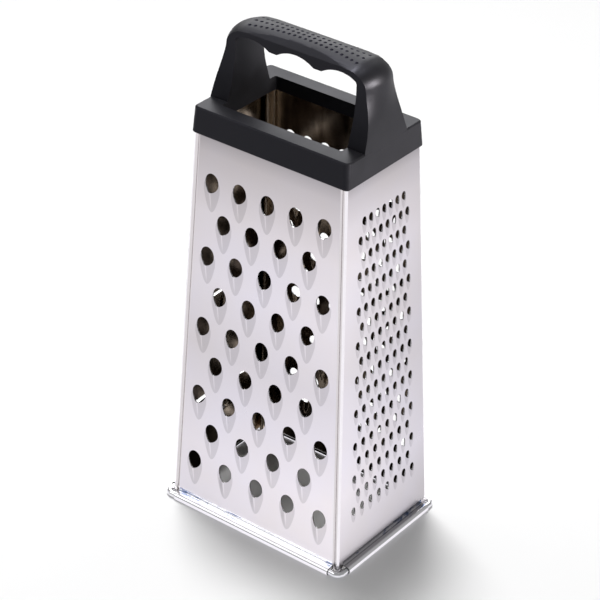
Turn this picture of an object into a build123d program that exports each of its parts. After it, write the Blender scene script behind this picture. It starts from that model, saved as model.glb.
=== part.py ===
from build123d import *

import os
from math import atan2, cos, radians, sin, sqrt, tan

# Four-sided box grater, 230 mm tall: four punched steel panels locked together at the corners, hemmed
# round a base wire, and capped by one moulded collar with a bail handle.
#
# Frame: origin on the surface the grater stands on, under the middle of the body.  +Z is up, -Y is the
# coarse face, +X the fine face, +Y the medium face and -X the slicing face.  Millimetres throughout.

# ---- body: outside of the four panels ---------------------------------------------------------------
foot_width, foot_depth = 92.9, 64.9             # across the panels at their lower corners
shoulder_width, shoulder_depth = 78.6, 49.8     # across the panels where the collar's skirt ends
body_height = 182.0                             # from the panels' lower corners up to the skirt
sheet = 0.45                                    # panel steel
bend = 0.40                                     # inside radius of a sheet bend

# ---- corner lock: the side panel's edge is folded into a channel that hooks the face panel's flange --
lock_width = 2.2                                # channel, seen on the coarse and medium faces
lock_depth = 5.0                                # from the face down to the inside of the hook
lock_hook = 3.0                                 # length of the hook's returned leg
lock_clearance = 0.05                           # between the folded layers
lock_tip_clearance = 0.15                       # between the flange's edge and the hook it stands in
hook_bend = 0.22                                # inside radius at the hook

# ---- base hem ---------------------------------------------------------------------------------------
wire_diameter = 2.5
wire_corner = 3.2                               # centreline radius of the wire's elbows
elbow_steps = 3                                 # straight mitred pieces that each elbow is bent from
wire_offset = 2.15                              # wire's centreline outside the panel's lower corner
wire_clearance = 0.05                           # between wire and rolled sheet
foot_flat = 0.15                                # how far the roll is pressed flat where it stands
panel_lift = 0.15                               # panel's lower corners above the wire's centreline
hem_flare = 0.6                                 # outside radius where the panel turns out over the wire
hem_top = 1.8                                   # height of the hem piece above the roll
hem_inset = 3.3                                 # each hem ends this far from the body's corner
hem_wrap = 260.0                                # degrees of wire that the sheet rolls round

# ---- moulded collar ---------------------------------------------------------------------------------
collar_height = 11.9
collar_overhang = 1.25                          # skirt outside the panels at the skirt's lower edge
collar_draft_x, collar_draft_y = 0.8, 1.0       # how far each side of the collar leans in by its top
collar_corner = 2.4
collar_plate = 2.4                              # thickness of the collar's top
skirt_clearance = 0.12                          # between panels and skirt
panel_top_clearance = 0.3                       # between the panels' upper edges and the collar's top
mouth_width, mouth_depth = 61.4, 35.4           # opening through the collar
mouth_corner = 1.0
mouth_wall = 1.6
mouth_wall_depth = 6.4                          # how far the opening's wall reaches below the top
catch_width, catch_height = 6.0, 2.4            # snap catches that hold the collar to the wide panels
catch_spacing = 44.0
catch_drop = 6.5                                # catch's middle below the collar's top
catch_clearance = 0.15
collar_edge = 0.6                               # chamfer of the collar's outer edges

# ---- moulded bail -----------------------------------------------------------------------------------
bail_height = 34.0                              # crown of the grip above the collar's top
bail_end_height = 33.0                          # the same at the ends of the grip's top
grip_length = 54.6                              # between those ends
grip_half_depth = 9.1
grip_crown_radius = 22.0                        # across the grip
leg_flare = 5.4                                 # extra half depth of a leg at its foot
leg_flare_height = 25.0                         # height over which the flare runs out
leg_lean = 0.14                                 # inward lean of a leg's outer face
bail_corner = 9.5
ridge_height = 31.3                             # front and back edges of the grip's top
facet_angle = 32.0                              # slope of the crescents between ridge and pad
groove_floor = 26.2                             # underside of the grip between the finger grooves
groove_radius = 16.0
groove_depth = 2.9
groove_pitch = 22.5
groove_round = 2.6                              # rounding of the cusps between grooves
finger_corner = 2.0                             # inner corners of the finger gap
leg_steps = 5                                   # sections that a leg is lofted through
leg_foot_depth = 2.4                            # how much thicker a leg is at its foot, along the width
leg_foot_crown = 0.05                           # share of the grip's crown that is left at a leg's foot
grip_spare = 0.4                                # bail below the groove floor, which the finger gap trims
bail_root = 2.0                                 # how far the legs run down into the collar

# ---- punched patterns -------------------------------------------------------------------------------
coarse_hole_width, coarse_hole_height = 7.1, 8.4
coarse_tail, coarse_rise = 9.4, 1.35            # scoop below the hole, and how proud its lip stands
coarse_scoop_radius = 5.2
coarse_scoop_steps, coarse_scoop_angle = 3, 32.0    # flats across the round scoop, and their turn
coarse_margin = 10.8                            # outermost holes from the panel's corner
coarse_first, coarse_pitch, coarse_rows = 161.6, 17.4, 9
medium_hole_width, medium_hole_height = 5.2, 6.0
medium_tail, medium_rise = 6.2, 1.1
medium_margin = 12.0
medium_first, medium_pitch, medium_rows = 163.3, 11.3, 13
fine_hole_width, fine_hole_height = 2.8, 3.8
fine_tail, fine_rise = 4.0, 0.75
coarse_hole_steps = 8                           # straight edges round a coarse hole
medium_arch_steps, fine_arch_steps = 3, 3       # straight edges along the top of the smaller holes
fine_margin = 10.0
fine_first, fine_pitch, fine_rows = 163.8, 8.13, 18
slot_gap = 3.4                                  # clear height of a slicing slot
slot_margin = 10.5                              # slot's end from the panel's corner
slot_tail, slot_rise = 13.0, 2.0
slot_side = 2.5                                 # width of the raised ramp's sloping sides
slot_first, slot_pitch, slot_rows = 145.0, 51.7, 3

# ---- worked out from the above ----------------------------------------------------------------------
wire_radius = wire_diameter / 2
roll_radius = wire_radius + wire_clearance + sheet
wire_height = roll_radius - foot_flat
panel_foot = wire_height + panel_lift
collar_bottom = panel_foot + body_height
collar_top = collar_bottom + collar_height
panel_top = collar_top - collar_plate - panel_top_clearance
lean_x = (foot_width - shoulder_width) / 2 / body_height
lean_y = (foot_depth - shoulder_depth) / 2 / body_height


def half_width(z):
    """Half of the body's outside width at height z."""
    return foot_width / 2 - lean_x * (z - panel_foot)


def half_depth(z):
    """Half of the body's outside depth at height z."""
    return foot_depth / 2 - lean_y * (z - panel_foot)


# ---- sheet work -------------------------------------------------------------------------------------
def folded_strip(points, inside_radii):
    """Outline of a folded strip of sheet.  One face follows the points, the steel lies on its left."""
    vectors = [Vector(*p) for p in points]
    turns = []
    shifted = []
    for i, here in enumerate(vectors):
        before = (here - vectors[i - 1]).normalized() if i else None
        after = (vectors[i + 1] - here).normalized() if i + 1 < len(vectors) else None
        first, second = before or after, after or before
        left_a, left_b = Vector(-first.Y, first.X), Vector(-second.Y, second.X)
        shifted.append(here + (left_a + left_b) * (sheet / (1 + left_a.dot(left_b))))
        if before and after:
            turns.append(before.X * after.Y - before.Y * after.X)
    near = [r + sheet if turn > 0 else r for r, turn in zip(inside_radii, turns)]
    far = [r if turn > 0 else r + sheet for r, turn in zip(inside_radii, turns)]
    near_side = FilletPolyline(*vectors, radius=near)
    far_side = FilletPolyline(*shifted, radius=far)
    ends = [Line(vectors[0], shifted[0]), Line(vectors[-1], shifted[-1])]
    return make_face([near_side, far_side, *ends])


def face_panel_section(z):
    """Wide panel at height z, seen in plan: a flat with a flange at each end, on the -Y side."""
    y = -half_depth(z)
    x = half_width(z) - lock_width - lock_clearance
    tip = y + lock_depth - lock_tip_clearance
    return Pos(0, 0, z) * folded_strip([(-x, tip), (-x, y), (x, y), (x, tip)], [bend, bend])


def side_panel_section(z):
    """Narrow panel at height z, seen in plan, on the +X side: each edge is a channel with a hook."""
    x, y = half_width(z), half_depth(z)
    inner = x - lock_width
    hook = inner - sheet - 2 * lock_clearance
    floor = y - lock_depth
    front = [(hook, -floor - lock_hook), (hook, -floor), (inner, -floor), (inner, -y), (x, -y)]
    back = [(px, -py) for px, py in reversed(front)]
    radii = [hook_bend, hook_bend, bend, bend]
    return Pos(0, 0, z) * folded_strip(front + back, radii + radii[::-1])


def hem(reach, length):
    """Flared and rolled lower edge of a panel whose face stands reach(z) from the body's axis.

    Built in the XZ plane, with X outwards, and centred on the length along Y.
    """
    top = wire_height + roll_radius
    start = top + hem_top
    centre = reach(panel_foot) + wire_offset
    end_angle = 90 - hem_wrap

    def side(inset):
        level = top - inset
        radius = roll_radius - inset
        corner = (reach(level) - inset, level)
        run = FilletPolyline((reach(start) - inset, start), corner, (centre, level), radius=hem_flare + inset)
        roll = CenterArc((centre, wire_height), radius, 90, -hem_wrap)
        tip = (centre + radius * cos(radians(end_angle)), wire_height + radius * sin(radians(end_angle)))
        return run, roll, tip

    outer_run, outer_roll, outer_tip = side(0)
    inner_run, inner_roll, inner_tip = side(sheet)
    start_line = Line((reach(start), start), (reach(start) - sheet, start))
    section = make_face([outer_run, outer_roll, Line(outer_tip, inner_tip), inner_roll, inner_run, start_line])
    rolled = extrude(Plane.XZ * section, amount=length / 2, both=True)
    pressed = Pos(centre, 0, -roll_radius) * Box(4 * roll_radius, length, 2 * roll_radius)
    return rolled - pressed, start


def hemmed_panel(section, hem_solid, hem_start, hem_length, turn):
    """Loft a panel between its plan sections, and swap its lower edge for the hem."""
    plate = loft([section(panel_foot), section(panel_top)], ruled=True)
    reach = foot_width
    notch = Pos(reach, 0, hem_start / 2) * Box(2 * reach, hem_length, hem_start)
    return plate - Rot(0, 0, turn) * notch + Rot(0, 0, turn) * hem_solid


# ---- punched work -----------------------------------------------------------------------------------
def punch(profile, hole, tail, rise, width, height, lean):
    """One scoop and its hole in a small square of sheet, with X across, Y up and Z out of the face.

    The sheet is as thick, square to its face, as that of a panel that leans by so much.
    """
    thickness = sheet / sqrt(1 + lean ** 2)
    tilt = atan2(rise, tail)
    tip = -(height / 2 + tail)
    top = 2 * rise + sheet
    ramp = Plane(origin=(0, tip, 0), x_dir=(1, 0, 0), z_dir=(0, cos(tilt), sin(tilt)))

    def swept(inset, start, low):
        """The tilted profile, ending in a slope that runs down to the sheet beside the hole."""
        side = Polyline((start, -low), (0, -low), (0, -inset), (-height / 2, top - inset), (start, top), close=True)
        room = extrude(Plane.YZ * make_face(side), amount=2 * width, both=True)
        return extrude(ramp * profile(inset), amount=-2 * tip, both=True) & room

    patch = Pos(0, 0, -thickness / 2) * Box(4 * width, -4 * tip, thickness)
    pierced = swept(sheet, 2 * tip, 2 * sheet) + extrude(hole, amount=2 * top, both=True)
    return patch + swept(0, tip, sheet / 2) - pierced


def pinch(width, height, tail, rise, arch_steps, lean):
    """One small scoop like those of punch(): a hole whose lower edge is lifted to a point.

    The top of the hole is half an oval drawn in straight edges.  The point is the apex of a three-sided
    hump, and the hollow under it is the same hump, one thickness lower.
    """
    thickness = sheet / sqrt(1 + lean ** 2)
    turns = [radians(180 * i / arch_steps - 90) for i in range(arch_steps + 1)]
    arch = [(width / 2 * sin(t), height / 2 * cos(t)) for t in turns]
    tip = (0, -(height / 2 + tail))
    hump = [Vector(*arch[-1]), Vector(*arch[0]), Vector(*tip), Vector(0, -height / 2, rise)]
    sides = [Wire.make_polygon(hump[:i] + hump[i + 1:]) for i in range(4)]
    raised = Solid(Shell([Face(side) for side in sides]))
    hole = make_face(Polyline(*arch, (0, -height / 2), close=True))
    patch = Pos(0, 0, -thickness / 2) * Box(4 * width, -4 * tip[1], thickness)
    return patch + raised - Pos(0, 0, -thickness) * raised - extrude(hole, amount=2 * tail, both=True)


def oval(width, height, steps):
    """Upright oval hole, drawn as a polygon of that many sides."""
    turns = [radians(360 * (i + 0.5) / steps) for i in range(steps)]
    return make_face(Polyline([(width / 2 * sin(t), height / 2 * cos(t)) for t in turns], close=True))


def round_profile(radius, steps, angle):
    """Round scoop in flats that touch the radius: its crest lies at the origin and its body along +Y."""
    def draw(inset):
        corner = (radius - inset) / cos(radians(angle / 2))
        turns = [radians((i - steps / 2) * angle) for i in range(steps + 1)]
        arch = [(corner * sin(t), radius - corner * cos(t)) for t in turns]
        return make_face(Polyline(*arch, (0, 3 * radius), close=True))
    return draw


def ramp_profile(half, side, rise):
    """Wide scoop: a flat crest between two sloping sides."""
    def draw(inset):
        flank = atan2(rise, side)
        crest = half - inset * tan(flank / 2)
        drop = 4 * rise
        foot = crest + drop / tan(flank)
        return make_face(Polyline((-crest, inset), (crest, inset), (foot, inset + drop),
                                  (-foot, inset + drop), close=True))
    return draw


def staggered(first, pitch, rows, counts, margin, half):
    """Places of a staggered pattern, as (across, height): rows hold the two counts in turn."""
    places = []
    for row in range(rows):
        height = panel_foot + first - pitch * row
        step = 2 * (half(height) - margin) / (max(counts) - 1)
        count = counts[row % 2]
        places += [((i - (count - 1) / 2) * step, height) for i in range(count)]
    return places


def face_plane(across, height, turn):
    """Plane on a panel's outside, for the panel that the -Y one becomes when turned about Z."""
    reach, lean = (half_depth, lean_y) if turn % 180 == 0 else (half_width, lean_x)
    here = Plane(origin=(across, -reach(height), height), x_dir=(1, 0, 0), z_dir=(0, -1, lean))
    return Rot(0, 0, turn) * here.location


def rim_clear(box, rim):
    """Whether a face's box stays off all four sides of the square of sheet round a punch."""
    return rim.min.X < box.min.X and box.max.X < rim.max.X and rim.min.Y < box.min.Y and box.max.Y < rim.max.Y


def punched(panel, punches, turn):
    """Sew a punch into a panel at each place: punches are pairs of a punch and its (across, height).

    The panel's two broad faces take the outlines of the punches as holes, and between the outlines
    lie the punches' own faces, so that panel and punches are one skin.
    """
    def off_axis(face):
        return Vector(face.center().X, face.center().Y).length

    inner, outer = sorted(panel.faces().sort_by(SortBy.AREA)[-2:], key=off_axis)
    skin = [face for face in panel.faces() if face not in (inner, outer)]
    holes = {inner: list(inner.inner_wires()), outer: list(outer.inner_wires())}
    for cell, (across, height) in punches:
        spot = face_plane(across, height, turn)
        sides = sorted(cell.faces().sort_by(SortBy.AREA)[-2:], key=lambda face: face.center().Z)
        for side, face in zip(sides, (inner, outer)):
            holes[face] += [spot * wire for wire in side.inner_wires()]
        rim = cell.bounding_box()
        skin += [spot * face for face in cell.faces() if rim_clear(face.bounding_box(), rim)]
    skin += [Face(face.outer_wire(), wires) for face, wires in holes.items()]
    return Solid(Shell(skin))


# ---- the four panels --------------------------------------------------------------------------------
def wide_panel():
    """Wide panel with its flanges, hem and catch windows, on the -Y side, before punching."""
    length = foot_width - 2 * hem_inset
    rolled, start = hem(half_depth, length)
    return hemmed_panel(face_panel_section, rolled, start, length, -90) - catch_windows()


def narrow_panel():
    """Narrow panel with its lock channels and hem, on the +X side, before punching."""
    length = foot_depth - 2 * hem_inset
    rolled, start = hem(half_width, length)
    return hemmed_panel(side_panel_section, rolled, start, length, 0)


def front_coarse_panel():
    width, height = coarse_hole_width, coarse_hole_height
    scoop = punch(round_profile(coarse_scoop_radius, coarse_scoop_steps, coarse_scoop_angle),
                  oval(width, height, coarse_hole_steps), coarse_tail, coarse_rise, width, height, lean_y)
    places = staggered(coarse_first, coarse_pitch, coarse_rows, (5, 4), coarse_margin, half_width)
    return punched(wide_panel(), [(scoop, place) for place in places], 0)


def right_fine_panel():
    scoop = pinch(fine_hole_width, fine_hole_height, fine_tail, fine_rise, fine_arch_steps, lean_x)
    places = staggered(fine_first, fine_pitch, fine_rows, (7, 8), fine_margin, half_depth)
    return punched(narrow_panel(), [(scoop, place) for place in places], 90)


def back_medium_panel():
    scoop = pinch(medium_hole_width, medium_hole_height, medium_tail, medium_rise, medium_arch_steps, lean_y)
    places = staggered(medium_first, medium_pitch, medium_rows, (7, 6), medium_margin, half_width)
    return punched(Rot(0, 0, 180) * wide_panel(), [(scoop, place) for place in places], 180)


def left_slicing_panel():
    slots = []
    for row in range(slot_rows):
        height = panel_foot + slot_first - slot_pitch * row
        half = half_depth(height) - slot_margin
        slope = slot_gap / 2
        hole = make_face(Polyline((-half, 0), (slope - half, slope), (half - slope, slope), (half, 0),
                                  (half - slope, -slope), (slope - half, -slope), close=True))
        slot = punch(ramp_profile(half, slot_side, slot_rise), hole, slot_tail, slot_rise,
                     2 * half, slot_gap, lean_x)
        slots.append((slot, (0, height)))
    return punched(Rot(0, 0, 180) * narrow_panel(), slots, -90)


# ---- base wire --------------------------------------------------------------------------------------
def base_wire():
    """Closed ring of round wire that the four hems roll round, with mitred elbows."""
    x = foot_width / 2 + wire_offset - wire_corner
    y = foot_depth / 2 + wire_offset - wire_corner
    step = 90 / elbow_steps
    reach = wire_corner / cos(radians(step / 2))
    line = []
    for quarter, (corner_x, corner_y) in enumerate([(x, y), (-x, y), (-x, -y), (x, -y)]):
        for i in range(elbow_steps):
            turn = radians(90 * quarter + step * (i + 0.5))
            line.append((corner_x + reach * cos(turn), corner_y + reach * sin(turn), wire_height))
    ring = Wire.make_polygon([Vector(*point) for point in line], close=True)
    section = Plane(origin=ring @ 0, z_dir=ring % 0) * Circle(wire_radius)
    return sweep(section, path=ring, transition=Transition.RIGHT)


# ---- collar and bail --------------------------------------------------------------------------------
def frustum(size, low, high, corner):
    """Upright block with rounded corners whose (width, depth) is size(z) at each height."""
    return loft([Pos(0, 0, z) * RectangleRounded(*size(z), corner) for z in (low, high)], ruled=True)


def collar():
    """Skirt, top and the wall round the mouth, with the snap catches inside the skirt."""
    def outside(z, inset):
        share = (z - collar_bottom) / collar_height
        spare = collar_overhang - inset
        size = (2 * (half_width(collar_bottom) + spare - share * collar_draft_x),
                2 * (half_depth(collar_bottom) + spare - share * collar_draft_y))
        return Pos(0, 0, z) * RectangleRounded(*size, collar_corner - inset)

    def pocket(z):
        return 2 * (half_width(z) + skirt_clearance), 2 * (half_depth(z) + skirt_clearance)

    ceiling = collar_top - collar_plate
    below = collar_bottom - collar_plate
    body = loft([outside(collar_bottom, collar_edge), outside(collar_bottom + collar_edge, 0),
                 outside(collar_top - collar_edge, 0), outside(collar_top, collar_edge)], ruled=True)
    body -= frustum(pocket, below, ceiling, bend + sheet)
    wall = RectangleRounded(mouth_width + 2 * mouth_wall, mouth_depth + 2 * mouth_wall, mouth_corner + mouth_wall)
    body += Pos(0, 0, collar_top - mouth_wall_depth) * extrude(wall, amount=mouth_wall_depth - collar_plate / 2)
    for side in (-1, 1):
        for end in (-1, 1):
            z = collar_top - catch_drop
            depth = sheet + skirt_clearance
            y = side * (half_depth(z) + skirt_clearance - depth / 2)
            body += Pos(end * catch_spacing / 2, y, z) * Box(catch_width, depth + skirt_clearance, catch_height)
    mouth = RectangleRounded(mouth_width, mouth_depth, mouth_corner)
    return body - Pos(0, 0, below) * extrude(mouth, amount=2 * collar_height)


def catch_windows():
    """The two windows in each wide panel that the collar's catches snap into."""
    width = catch_width + 2 * catch_clearance
    height = catch_height + 2 * catch_clearance
    z = collar_top - catch_drop
    return [Pos(end * catch_spacing / 2, 0, z) * Box(width, 2 * foot_depth, height) for end in (-1, 1)]


def bail_arch():
    """Bail's outer line in its middle plane, drawn in XY with Y as the height above the collar."""
    foot_x = half_width(collar_bottom) + collar_overhang - collar_draft_x
    drop = bail_height - bail_end_height
    top_radius = (grip_length ** 2 / 4 + drop ** 2) / (2 * drop)
    shoulder_x = foot_x - leg_lean * bail_end_height
    shoulder_y = sqrt(top_radius ** 2 - shoulder_x ** 2) - (top_radius - bail_height)
    root_x = foot_x + leg_lean * bail_root
    left = Line((-root_x, -bail_root), (-shoulder_x, shoulder_y))
    crown = ThreePointArc((-shoulder_x, shoulder_y), (0, bail_height), (shoulder_x, shoulder_y))
    right = Line((shoulder_x, shoulder_y), (root_x, -bail_root))
    line = Wire([left, crown, right])
    shoulders = [v for v in line.vertices() if v.Y > bail_height / 2]
    return line.fillet_2d(bail_corner, shoulders)


def bail_section(line, distance):
    """Cross-section of the bail, square to its arch, at a distance along it from 0 to 1."""
    here, along = line @ distance, line % distance
    height = min(max(here.Y, 0.0), leg_flare_height)
    flare = (1 - height / leg_flare_height) ** 2
    half = grip_half_depth + leg_flare * flare
    crown = grip_crown_radius - sqrt(grip_crown_radius ** 2 - grip_half_depth ** 2)
    rise = crown * (leg_foot_crown + (1 - leg_foot_crown) * (1 - flare) ** 4)
    depth = bail_height - groove_floor + grip_spare + leg_foot_depth * flare
    frame = Plane(origin=(here.X, 0, collar_top + here.Y), x_dir=(0, 1, 0), z_dir=(-along.X, 0, -along.Y))
    outer = ThreePointArc((-half, rise), (0, 0), (half, rise))
    inner = Polyline((half, rise), (half, depth), (-half, depth), (-half, rise))
    return frame * make_face([outer, inner])


def finger_gap():
    """Opening under the grip, with three finger grooves, drawn in XY like the arch."""
    half = mouth_width / 2
    below = 2 * bail_root
    gap = Pos(0, (groove_floor - below) / 2) * Rectangle(2 * half, groove_floor + below)
    above = Pos(0, groove_floor + groove_depth) * Rectangle(2 * half, 2 * groove_depth)
    for i in (-1, 0, 1):
        circle = Pos(i * groove_pitch, groove_floor + groove_depth - groove_radius) * Circle(groove_radius)
        gap += circle & above
    high = gap.vertices().filter_by(lambda v: v.Y > groove_floor / 2)
    cusps = high.filter_by(lambda v: abs(v.X) < half - groove_depth)
    gap = fillet(cusps, groove_round)
    corners = gap.vertices().filter_by(lambda v: v.Y > groove_floor / 2 and abs(v.X) > half - 0.01)
    return fillet(corners, finger_corner)


def bail():
    """Handle: crowned arch on flared legs, with crescent facets on top and finger grooves below."""
    line = bail_arch()
    left, first_turn, crown, last_turn, right = line.edges().sort_by(Axis.X)
    legs = [loft([bail_section(leg, i / leg_steps) for i in range(leg_steps + 1)]) for leg in (left, right)]
    grip_path = Plane.XZ * Pos(0, collar_top) * Wire([first_turn, crown, last_turn])
    arch = sweep(bail_section(left, 1), path=grip_path) + legs
    slope = tan(radians(facet_angle))
    out, over = leg_flare, grip_half_depth
    facet = make_face(Polyline((out, ridge_height - out * slope), (-over, ridge_height + over * slope),
                               (-over, 2 * bail_height), (out, 2 * bail_height), close=True))
    for side in (0, 180):
        wedge = extrude(Plane.YZ * Pos(grip_half_depth, 0) * facet, amount=grip_length, both=True)
        arch -= Rot(0, 0, side) * Pos(0, 0, collar_top) * wedge
    gap = extrude(Plane.XZ * Pos(0, collar_top) * finger_gap(), amount=foot_depth, both=True)
    return arch - gap


def handle_collar():
    """Collar and bail, moulded in one."""
    return collar() + bail()


if __name__ == "__main__":
    os.makedirs("parts", exist_ok=True)
    parts = {
        "front_coarse_panel": front_coarse_panel,
        "right_fine_panel": right_fine_panel,
        "back_medium_panel": back_medium_panel,
        "left_slicing_panel": left_slicing_panel,
        "base_wire": base_wire,
        "handle_collar": handle_collar,
    }
    for name, make in parts.items():
        export_step(make(), f"parts/{name}.step")
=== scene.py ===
"""Looks of a four-sided box grater: punched satin steel, a hemmed base wire and a black moulded handle.

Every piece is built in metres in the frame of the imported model.  The panels are made again as one thin
skin each, with smooth formed scoops, and thickened to sheet; the moulding is a copy of its solid with
pressed dimples, softened edges and more upright legs; the wire keeps its solid.
"""
from __future__ import annotations

import logging
import math
from dataclasses import dataclass
from enum import Enum
from typing import Callable, Sequence, Union

import bmesh
import bpy
from mathutils import Matrix, Vector

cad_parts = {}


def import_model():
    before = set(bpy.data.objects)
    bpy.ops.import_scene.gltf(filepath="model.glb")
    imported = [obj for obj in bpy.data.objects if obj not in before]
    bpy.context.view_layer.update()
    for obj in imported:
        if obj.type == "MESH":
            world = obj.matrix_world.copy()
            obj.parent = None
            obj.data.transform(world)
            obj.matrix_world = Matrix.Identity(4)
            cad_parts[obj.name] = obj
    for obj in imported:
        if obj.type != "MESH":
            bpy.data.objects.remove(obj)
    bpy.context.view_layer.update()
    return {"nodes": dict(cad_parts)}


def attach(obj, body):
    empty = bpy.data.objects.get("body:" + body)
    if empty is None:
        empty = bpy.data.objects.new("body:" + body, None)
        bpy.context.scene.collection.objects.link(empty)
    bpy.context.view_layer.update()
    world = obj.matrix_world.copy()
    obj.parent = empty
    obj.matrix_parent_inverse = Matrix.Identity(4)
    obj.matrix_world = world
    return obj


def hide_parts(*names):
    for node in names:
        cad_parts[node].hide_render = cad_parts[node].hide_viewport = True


LOG = logging.getLogger("grater")
MM = 0.001
ROOT = "root"
FORMED = "formed"
Number = Union[float, "Value"]
Point = tuple[float, float]
Triple = tuple[float, float, float]
Colour = Triple
Finish = bpy.types.Material
Item = bpy.types.Object
WHITE = (1.0, 1.0, 1.0)


# ---- node trees ----
def operator(operation: str, reflected: bool = False) -> Callable[[Value, Number], Value]:
    """Make an arithmetic method of Value.

    Args:
        operation: what the Math node does.
        reflected: whether the other operand comes first.

    Returns:
        The method.
    """
    def method(self: Value, other: Number) -> Value:
        """Add the Math node."""
        return self.graph.math(operation, *((other, self) if reflected else (self, other)))
    return method


class Value:
    """An output socket that takes part in Python arithmetic by adding Math nodes."""

    __add__ = operator("ADD")
    __radd__ = operator("ADD", reflected=True)
    __sub__ = operator("SUBTRACT")
    __rsub__ = operator("SUBTRACT", reflected=True)
    __mul__ = operator("MULTIPLY")
    __truediv__ = operator("DIVIDE")
    __pow__ = operator("POWER")

    def __init__(self, graph: Graph, socket: bpy.types.NodeSocket) -> None:
        """Keep the socket and the graph that it belongs to."""
        self.graph = graph
        self.socket = socket


class Graph:
    """Builds one node tree, for a material or for geometry."""

    def __init__(self, tree: bpy.types.NodeTree) -> None:
        """Wrap an empty tree."""
        self.tree = tree

    def node(self, kind: str, inputs: dict | None = None, **settings: str | bool) -> bpy.types.Node:
        """Add one node.

        Args:
            kind: the node's Blender type.
            inputs: values or links, by socket name or number.
            settings: the node's properties, which are set before its inputs.

        Returns:
            The node.
        """
        node = self.tree.nodes.new(kind)
        for key, value in settings.items():
            setattr(node, key, value)
        for key, value in (inputs or {}).items():
            if isinstance(value, Value):
                self.tree.links.new(value.socket, node.inputs[key])
            else:
                node.inputs[key].default_value = value
        return node

    def out(self, kind: str, inputs: dict | None = None, output: int | str = 0,
            **settings: str | bool) -> Value:
        """Add one node and return one of its outputs."""
        return Value(self, self.node(kind, inputs, **settings).outputs[output])

    def math(self, operation: str, first: Number, second: Number = 0.0) -> Value:
        """Add a Math node."""
        return self.out("ShaderNodeMath", {0: first, 1: second}, operation=operation)

    def axis(self, vector: Value, name: str) -> Value:
        """One component of a vector."""
        return self.out("ShaderNodeSeparateXYZ", {0: vector}, name)

    def vector(self, x: Number = 0.0, y: Number = 0.0, z: Number = 0.0) -> Value:
        """Add a Combine XYZ node."""
        return self.out("ShaderNodeCombineXYZ", {"X": x, "Y": y, "Z": z})


class MaterialGraph(Graph):
    """A material's node tree, with the few recipes that the finishes share."""

    def __init__(self, name: str) -> None:
        """Make the material and empty its tree."""
        self.material = bpy.data.materials.new(name)
        self.material.use_nodes = True
        super().__init__(self.material.node_tree)
        self.tree.nodes.clear()
        self.place = self.out("ShaderNodeTexCoord", output="Object")

    def stretched(self, scale: Triple) -> Value:
        """Object coordinates scaled along each axis."""
        return self.out("ShaderNodeMapping", {"Vector": self.place, "Scale": scale})

    def noise(self, scale: float, detail: float = 2.0, roughness: float = 0.5,
              place: Value | None = None) -> Value:
        """Noise between 0 and 1; scale is in waves per metre."""
        inputs = {"Vector": place or self.place, "Scale": scale, "Detail": detail, "Roughness": roughness}
        return self.out("ShaderNodeTexNoise", inputs)

    def rolled_grain(self) -> Value:
        """Fine noise drawn out upwards, as rolling leaves it in sheet."""
        return self.noise(900.0, 2.0, 0.6, self.stretched((1.0, 1.0, 0.12)))

    def ramp(self, fac: Value, stops: Sequence[tuple[float, Colour]]) -> Value:
        """Colour ramp.

        Args:
            fac: the place along it.
            stops: each a position and a colour, in order.

        Returns:
            The colour.
        """
        node = self.node("ShaderNodeValToRGB", {"Fac": fac})
        elements = node.color_ramp.elements
        while len(elements) < len(stops):
            elements.new(0.5)
        for element, (position, colour) in zip(elements, stops):
            element.position = position
            element.color = (*colour, 1.0)
        return Value(self, node.outputs[0])

    def levels(self, fac: Value, stops: Sequence[Point]) -> Value:
        """Grey ramp, from positions and tones."""
        return self.ramp(fac, [(at, (tone,) * 3) for at, tone in stops])

    def spread(self, fac: Value, low: float, high: float, start: float = 0.0, end: float = 1.0) -> Value:
        """Map a value from start..end to low..high, clamped."""
        inputs = {"Value": fac, "From Min": start, "From Max": end, "To Min": low, "To Max": high}
        return self.out("ShaderNodeMapRange", inputs, clamp=True)

    def scaled(self, colour: Value, by: Value) -> Value:
        """A colour or vector times a number or another colour."""
        return self.out("ShaderNodeVectorMath", {0: colour, 1: by}, operation="MULTIPLY")

    def mixed(self, fac: Value, first: Colour | Value, second: Colour | Value) -> Value:
        """A mix of two colours.

        Args:
            fac: how far it is from the first to the second.
            first: a colour or an output.
            second: the same.

        Returns:
            The mixed colour.
        """
        mix = self.node("ShaderNodeMix", data_type="RGBA")
        self.tree.links.new(fac.socket, mix.inputs["Factor"])
        for socket, colour in zip([i for i in mix.inputs if i.type == "RGBA"], (first, second)):
            if isinstance(colour, Value):
                self.tree.links.new(colour.socket, socket)
            else:
                socket.default_value = (*colour, 1.0)
        return Value(self, next(o for o in mix.outputs if o.type == "RGBA"))

    def bump(self, height: Value, distance: float, strength: float = 1.0) -> Value:
        """Bump from a height between 0 and 1; distance is in metres."""
        return self.out("ShaderNodeBump", {"Height": height, "Distance": distance, "Strength": strength})

    def steel(self, colour: Value, roughness: Value, **more: Value) -> Finish:
        """Finish that is all metal, with more inputs by name."""
        return self.finish({"Base Color": colour, "Roughness": roughness, "Metallic": 1.0, **more})

    def finish(self, inputs: dict) -> Finish:
        """Join a Principled shader with these inputs to the output.

        Args:
            inputs: values or links for the shader's sockets.

        Returns:
            The material.
        """
        shader = self.out("ShaderNodeBsdfPrincipled", inputs)
        self.node("ShaderNodeOutputMaterial", {"Surface": shader})
        return self.material


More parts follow.
